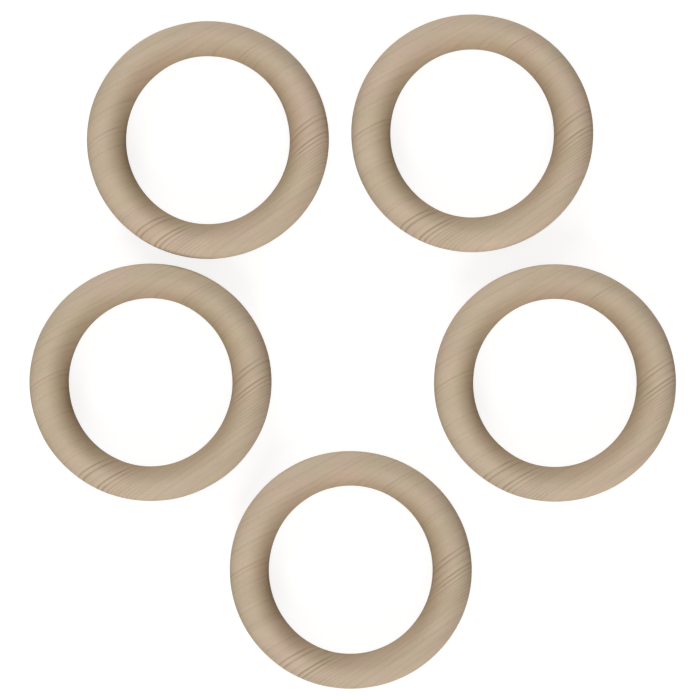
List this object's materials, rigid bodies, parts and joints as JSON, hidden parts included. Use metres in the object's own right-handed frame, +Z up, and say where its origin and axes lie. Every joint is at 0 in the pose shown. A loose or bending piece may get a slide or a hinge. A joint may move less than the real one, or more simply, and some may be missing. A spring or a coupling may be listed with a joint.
{
  "type": "wooden gymnastics ring set",
  "caption": "Plain round-bar gymnastics rings turned from solid pale hardwood, loose and without straps, laid out flat beside each other.",
  "frame": {"origin": "on the surface the rings lie on, under the middle of the whole set's bounding box", "axes": "+Z up from that surface, +Y along the set's longer side, towards the two upper rings"},
  "size_m": [0.483, 0.507, 0.028],
  "materials": {
    "wood": "fine-sanded pale hardwood, unlacquered"
  },
  "bodies": {
    "ring_top_left": {"ring_top_left": "wood"},
    "ring_top_right": {"ring_top_right": "wood"},
    "ring_middle_left": {"ring_middle_left": "wood"},
    "ring_middle_right": {"ring_middle_right": "wood"},
    "ring_bottom": {"ring_bottom": "wood"}
  },
  "joints": [
    {"name": "lift_ring_top_left", "type": "slide", "parent": "ring_bottom", "child": "ring_top_left", "axis": [0, 0, 1], "range_m": [0, 0.1]},
    {"name": "lift_ring_top_right", "type": "slide", "parent": "ring_bottom", "child": "ring_top_right", "axis": [0, 0, 1], "range_m": [0, 0.1]},
    {"name": "lift_ring_middle_left", "type": "slide", "parent": "ring_bottom", "child": "ring_middle_left", "axis": [0, 0, 1], "range_m": [0, 0.1]},
    {"name": "lift_ring_middle_right", "type": "slide", "parent": "ring_bottom", "child": "ring_middle_right", "axis": [0, 0, 1], "range_m": [0, 0.1]}
  ]
}
